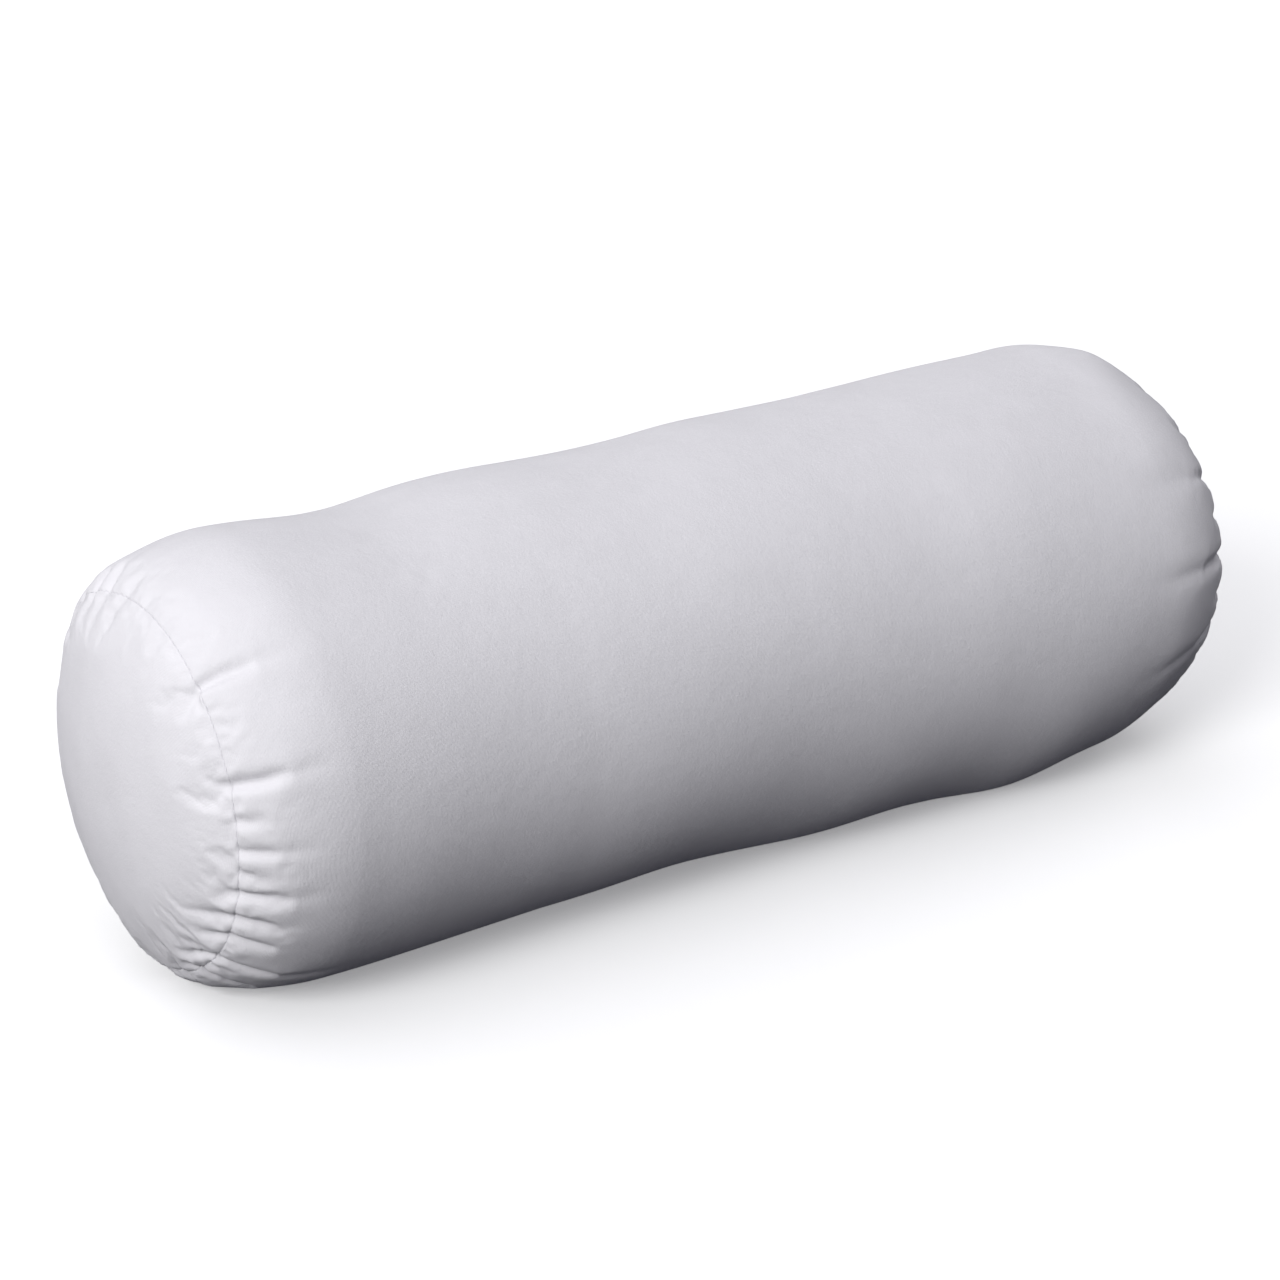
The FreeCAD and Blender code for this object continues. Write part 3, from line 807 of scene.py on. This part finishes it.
def vary_color(tree, shader, coords, color, amount, scale):
    """Mottles the base colour a little."""
    noise = node(tree, "ShaderNodeTexNoise", Scale=scale, Detail=4.0)
    ramp = node(tree, "ShaderNodeValToRGB")
    ramp.color_ramp.elements[0].position = 0.3
    ramp.color_ramp.elements[1].position = 0.7
    ramp.color_ramp.elements[0].color = (*[c * (1 - amount) for c in color], 1)
    ramp.color_ramp.elements[1].color = (*color, 1)
    tree.links.new(coords, noise.inputs["Vector"])
    tree.links.new(noise.outputs["Fac"], ramp.inputs["Fac"])
    tree.links.new(ramp.outputs["Color"], shader.inputs["Base Color"])


def cloth_material(name, color, pitch, weave, nap):
    """Plain woven cloth: crossed threads, a soft nap and slight mottling."""
    mat, tree, shader = new_material(name, color, 0.92)
    shader.inputs["Sheen Weight"].default_value = 0.05
    shader.inputs["Sheen Roughness"].default_value = 0.6
    shader.inputs["Specular IOR Level"].default_value = 0.0
    place = node(tree, "ShaderNodeTexCoord")
    vary_color(tree, shader, place.outputs["Object"], color, 0.035, 55.0)
    bands = 2 * math.pi / 20.0 / pitch
    warp = node(tree, "ShaderNodeTexWave", bands_direction="X", Scale=bands, Distortion=0.6)
    weft = node(tree, "ShaderNodeTexWave", bands_direction="Y", Scale=bands, Distortion=0.6)
    cross = node(tree, "ShaderNodeMath", operation="MAXIMUM")
    fuzz = node(tree, "ShaderNodeTexNoise", Scale=900.0, Detail=3.0)
    slub = node(tree, "ShaderNodeTexNoise", Scale=160.0, Detail=5.0, Roughness=0.6)
    first = node(tree, "ShaderNodeBump", Strength=weave, Distance=0.00015)
    second = node(tree, "ShaderNodeBump", Strength=nap, Distance=0.0004)
    third = node(tree, "ShaderNodeBump", Strength=nap, Distance=0.0008)
    link = tree.links.new
    for wave in (warp, weft):
        link(place.outputs["UV"], wave.inputs["Vector"])
    link(warp.outputs["Fac"], cross.inputs[0])
    link(weft.outputs["Fac"], cross.inputs[1])
    link(place.outputs["Object"], fuzz.inputs["Vector"])
    link(place.outputs["Object"], slub.inputs["Vector"])
    link(cross.outputs[0], first.inputs["Height"])
    link(fuzz.outputs["Fac"], second.inputs["Height"])
    link(slub.outputs["Fac"], third.inputs["Height"])
    link(first.outputs["Normal"], second.inputs["Normal"])
    link(second.outputs["Normal"], third.inputs["Normal"])
    link(third.outputs["Normal"], shader.inputs["Normal"])
    return mat


def thread_material(name, color):
    """Twisted yarn."""
    mat, tree, shader = new_material(name, color, 0.7)
    shader.inputs["Sheen Weight"].default_value = 0.3
    place = node(tree, "ShaderNodeTexCoord")
    vary_color(tree, shader, place.outputs["Object"], color, 0.1, 2500.0)
    twist = node(tree, "ShaderNodeTexWave", bands_direction="DIAGONAL", Scale=900.0, Distortion=1.0)
    bump = node(tree, "ShaderNodeBump", Strength=0.4, Distance=0.0001)
    tree.links.new(place.outputs["Object"], twist.inputs["Vector"])
    tree.links.new(twist.outputs["Fac"], bump.inputs["Height"])
    tree.links.new(bump.outputs["Normal"], shader.inputs["Normal"])
    return mat


def coil_material(name, color):
    """Nylon wire, slightly translucent and glossy."""
    mat, tree, shader = new_material(name, color, 0.35)
    shader.inputs["Subsurface Weight"].default_value = 0.15
    shader.inputs["Subsurface Radius"].default_value = (0.0006, 0.0006, 0.0006)
    place = node(tree, "ShaderNodeTexCoord")
    vary_color(tree, shader, place.outputs["Object"], color, 0.06, 300.0)
    return mat


def enamel_material(name, color):
    """Painted die-cast metal with softened edges."""
    mat, tree, shader = new_material(name, color, 0.3)
    shader.inputs["Coat Weight"].default_value = 0.4
    shader.inputs["Coat Roughness"].default_value = 0.15
    place = node(tree, "ShaderNodeTexCoord")
    vary_color(tree, shader, place.outputs["Object"], color, 0.04, 400.0)
    grain = node(tree, "ShaderNodeTexNoise", Scale=1500.0, Detail=2.0)
    soften = node(tree, "ShaderNodeBevel", samples=6, Radius=0.00025)
    bump = node(tree, "ShaderNodeBump", Strength=0.08, Distance=0.0002)
    tree.links.new(place.outputs["Object"], grain.inputs["Vector"])
    tree.links.new(grain.outputs["Fac"], bump.inputs["Height"])
    tree.links.new(soften.outputs["Normal"], bump.inputs["Normal"])
    tree.links.new(bump.outputs["Normal"], shader.inputs["Normal"])
    return mat


def satin_material(name, color):
    """Satin ribbon: a soft streaked gloss."""
    mat, tree, shader = new_material(name, color, 0.38)
    shader.inputs["Anisotropic"].default_value = 0.5
    shader.inputs["Sheen Weight"].default_value = 0.2
    place = node(tree, "ShaderNodeTexCoord")
    vary_color(tree, shader, place.outputs["Object"], color, 0.05, 500.0)
    ribs = node(tree, "ShaderNodeTexWave", bands_direction="X", Scale=700.0, Distortion=0.3)
    bump = node(tree, "ShaderNodeBump", Strength=0.2, Distance=0.00008)
    tree.links.new(place.outputs["Object"], ribs.inputs["Vector"])
    tree.links.new(ribs.outputs["Fac"], bump.inputs["Height"])
    tree.links.new(bump.outputs["Normal"], shader.inputs["Normal"])
    return mat


def wadding_material(name, color):
    """Loose fibre: matt and uneven."""
    mat, tree, shader = new_material(name, color, 1.0)
    shader.inputs["Sheen Weight"].default_value = 0.5
    place = node(tree, "ShaderNodeTexCoord")
    vary_color(tree, shader, place.outputs["Object"], color, 0.12, 120.0)
    noise = node(tree, "ShaderNodeTexNoise", Scale=350.0, Detail=8.0)
    bump = node(tree, "ShaderNodeBump", Strength=0.8, Distance=0.002)
    tree.links.new(place.outputs["Object"], noise.inputs["Vector"])
    tree.links.new(noise.outputs["Fac"], bump.inputs["Height"])
    tree.links.new(bump.outputs["Normal"], shader.inputs["Normal"])
    return mat


def dress(obj, mat):
    """Gives a whole object one material."""
    obj.data.materials.clear()
    obj.data.materials.append(mat)


def cloth_uv(obj):
    """Cloth coordinates in metres: round the roll and along it, or across an end panel."""
    mesh = obj.data
    co = np.empty(len(mesh.vertices) * 3)
    mesh.vertices.foreach_get("co", co)
    co = co.reshape(-1, 3)
    loops = np.empty(len(mesh.loops), int)
    mesh.loops.foreach_get("vertex_index", loops)
    if "end" in obj.name:
        uv = co[:, 1:3]
    else:
        uv = np.stack([co[:, 0], RADIUS * ((angle_of(co) - ZIP_ANGLE) % (2 * math.pi))], axis=1)
    uv = uv[loops]
    if "end" not in obj.name:
        first = np.empty(len(mesh.polygons), int)
        mesh.polygons.foreach_get("loop_start", first)
        size = np.diff(np.append(first, len(loops)))
        widest = np.repeat(np.maximum.reduceat(uv[:, 1], first), size)
        turn = 2 * math.pi * RADIUS
        uv[:, 1] += np.where(widest - uv[:, 1] > turn / 2, turn, 0.0)
    layer = mesh.uv_layers.new(name="cloth")
    layer.data.foreach_set("uv", uv.ravel())


# ---------------------------------------------------------------- studio

VIEW_AZIMUTH = math.radians(-35.15)
VIEW_ELEVATION = math.radians(21.6)
VIEW_DISTANCE = 1.238
VIEW_ASIDE, VIEW_ABOVE = -0.0146, 0.0018      # of the aim from the roll's centre
LENS = 85.3
LAMP_AIM = Vector((0, 0, 0.08))


def add_camera():
    """A long lens that looks down on the near end from the front left."""
    back = Vector((math.sin(VIEW_AZIMUTH) * math.cos(VIEW_ELEVATION),
                   -math.cos(VIEW_AZIMUTH) * math.cos(VIEW_ELEVATION), math.sin(VIEW_ELEVATION)))
    right = Vector((math.cos(VIEW_AZIMUTH), math.sin(VIEW_AZIMUTH), 0))
    up = back.cross(right)
    data = bpy.data.cameras.new("camera")
    data.sensor_width = 36
    data.lens = LENS
    data.clip_start, data.clip_end = 0.01, 50
    camera = bpy.data.objects.new("camera", data)
    camera.location = Vector((0, 0, AXIS_Z)) + right * VIEW_ASIDE + up * VIEW_ABOVE + back * VIEW_DISTANCE
    camera.rotation_mode = "QUATERNION"
    camera.rotation_quaternion = (-back).to_track_quat("-Z", "Y")
    bpy.context.scene.collection.objects.link(camera)
    bpy.context.scene.camera = camera


def add_light(name, place, size, power, color):
    """A soft rectangular light that points at the roll."""
    data = bpy.data.lights.new(name, "AREA")
    data.shape = "RECTANGLE"
    data.size, data.size_y = size
    data.energy = power
    data.color = color
    light = bpy.data.objects.new(name, data)
    light.location = place
    light.rotation_mode = "QUATERNION"
    light.rotation_quaternion = (Vector(place) - LAMP_AIM).to_track_quat("Z", "Y")
    bpy.context.scene.collection.objects.link(light)


def add_floor():
    """A pale paper floor that reaches past every view."""
    corners = [(-30, -30, 0), (30, -30, 0), (30, 30, 0), (-30, 30, 0)]
    floor = add_mesh("studio_floor", corners, [(0, 1, 2, 3)], smooth=False)
    floor.location.z = -0.0002
    mat, tree, shader = new_material("studio_paper", (0.93, 0.93, 0.93), 0.9)
    place = node(tree, "ShaderNodeTexCoord")
    vary_color(tree, shader, place.outputs["Object"], (0.93, 0.93, 0.93), 0.01, 3.0)
    shader.inputs["Emission Color"].default_value = (1, 1, 1, 1)
    shader.inputs["Emission Strength"].default_value = 0.25
    dress(floor, mat)
    floor.visible_diffuse = False


def add_world():
    """Surrounding light that is bright above and to the left, behind a plain pale backdrop."""
    world = bpy.data.worlds.new("studio")
    bpy.context.scene.world = world
    world.use_nodes = True
    tree = world.node_tree
    light = tree.nodes["Background"]
    light.inputs["Strength"].default_value = 0.77
    place = node(tree, "ShaderNodeTexCoord")
    toward = node(tree, "ShaderNodeVectorMath", operation="DOT_PRODUCT")
    toward.inputs[1].default_value = Vector((-0.42, -0.14, 0.90)).normalized()
    shift = node(tree, "ShaderNodeMath", operation="MULTIPLY_ADD")
    shift.inputs[1].default_value = 0.5
    shift.inputs[2].default_value = 0.5
    ramp = node(tree, "ShaderNodeValToRGB")
    dark, bright = ramp.color_ramp.elements
    dark.position, dark.color = 0.57, (0.03, 0.03, 0.042, 1)
    bright.position, bright.color = 0.86, (0.95, 0.95, 1.0, 1)
    backdrop = node(tree, "ShaderNodeBackground", Color=(0.82, 0.82, 0.82, 1))
    seen = node(tree, "ShaderNodeLightPath")
    either = node(tree, "ShaderNodeMixShader")
    link = tree.links.new
    link(place.outputs["Generated"], toward.inputs[0])
    link(toward.outputs["Value"], shift.inputs[0])
    link(shift.outputs[0], ramp.inputs["Fac"])
    link(ramp.outputs["Color"], light.inputs["Color"])
    link(seen.outputs["Is Camera Ray"], either.inputs[0])
    link(light.outputs[0], either.inputs[1])
    link(backdrop.outputs[0], either.inputs[2])
    link(either.outputs[0], tree.nodes["World Output"].inputs["Surface"])


def add_studio():
    """Floor, surrounding light and the four lamps: name, place, size in metres, power and colour."""
    add_floor()
    add_world()
    white, cool = (1, 1, 1), (0.95, 0.95, 1.0)
    add_light("key", (-3.40, -1.70, 2.25), (1.7, 1.7), 125, white)
    add_light("fill", (1.6, -1.8, 0.9), (1.6, 1.2), 0.5, cool)
    add_light("back", (0.6, 2.6, 0.8), (2.4, 1.2), 13, white)
    add_light("side", (2.7, 1.2, 0.55), (1.6, 0.9), 24, white)
    bpy.context.scene.view_settings.view_transform = "Standard"


def main():
    """Makes every piece, gives each its material and sets the studio round the roll."""
    add_camera()
    points, s, settled = make_cover()
    covers = cover_panels(points, s)
    sewn = threads(points, s)
    tapes = zip_tapes()
    coils = zip_coils()
    label = care_label(points)
    liners, liner_sewn, stuffing = inside(settled)

    white = cloth_material("white_cover_cloth", (0.80, 0.788, 0.815), 0.00045, 0.5, 0.25)
    lining = cloth_material("liner_cloth_spun", (0.74, 0.73, 0.72), 0.0006, 0.3, 0.5)
    tape_cloth = cloth_material("zip_tape_weave", (0.78, 0.77, 0.80), 0.0008, 1.0, 0.1)
    thread = thread_material("white_thread", (0.78, 0.77, 0.80))
    nylon = coil_material("white_nylon", (0.80, 0.79, 0.80))
    enamel = enamel_material("white_enamel", (0.78, 0.77, 0.78))
    satin = satin_material("label_ribbon", (0.84, 0.84, 0.86))
    wadding = wadding_material("white_wadding", (0.85, 0.85, 0.85))
    for obj in covers.values():
        cloth_uv(obj)
        dress(obj, white)
    for obj in liners.values():
        cloth_uv(obj)
        dress(obj, lining)
    for obj in tapes:
        cloth_uv(obj)
        dress(obj, tape_cloth)
    for obj in sewn + liner_sewn:
        dress(obj, thread)
    for obj in coils:
        dress(obj, {"zip_coil": nylon, "zip_tape": tape_cloth, "cover_thread": thread}[obj["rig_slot"]])
    dress(label, satin)
    dress(stuffing, wadding)
    for name in ("zip_slider", "zip_pull_tab", "zip_top_stops", "zip_bottom_stop"):
        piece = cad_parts[name]
        for slot in piece.material_slots:
            slot.material = enamel
    add_studio()


main()
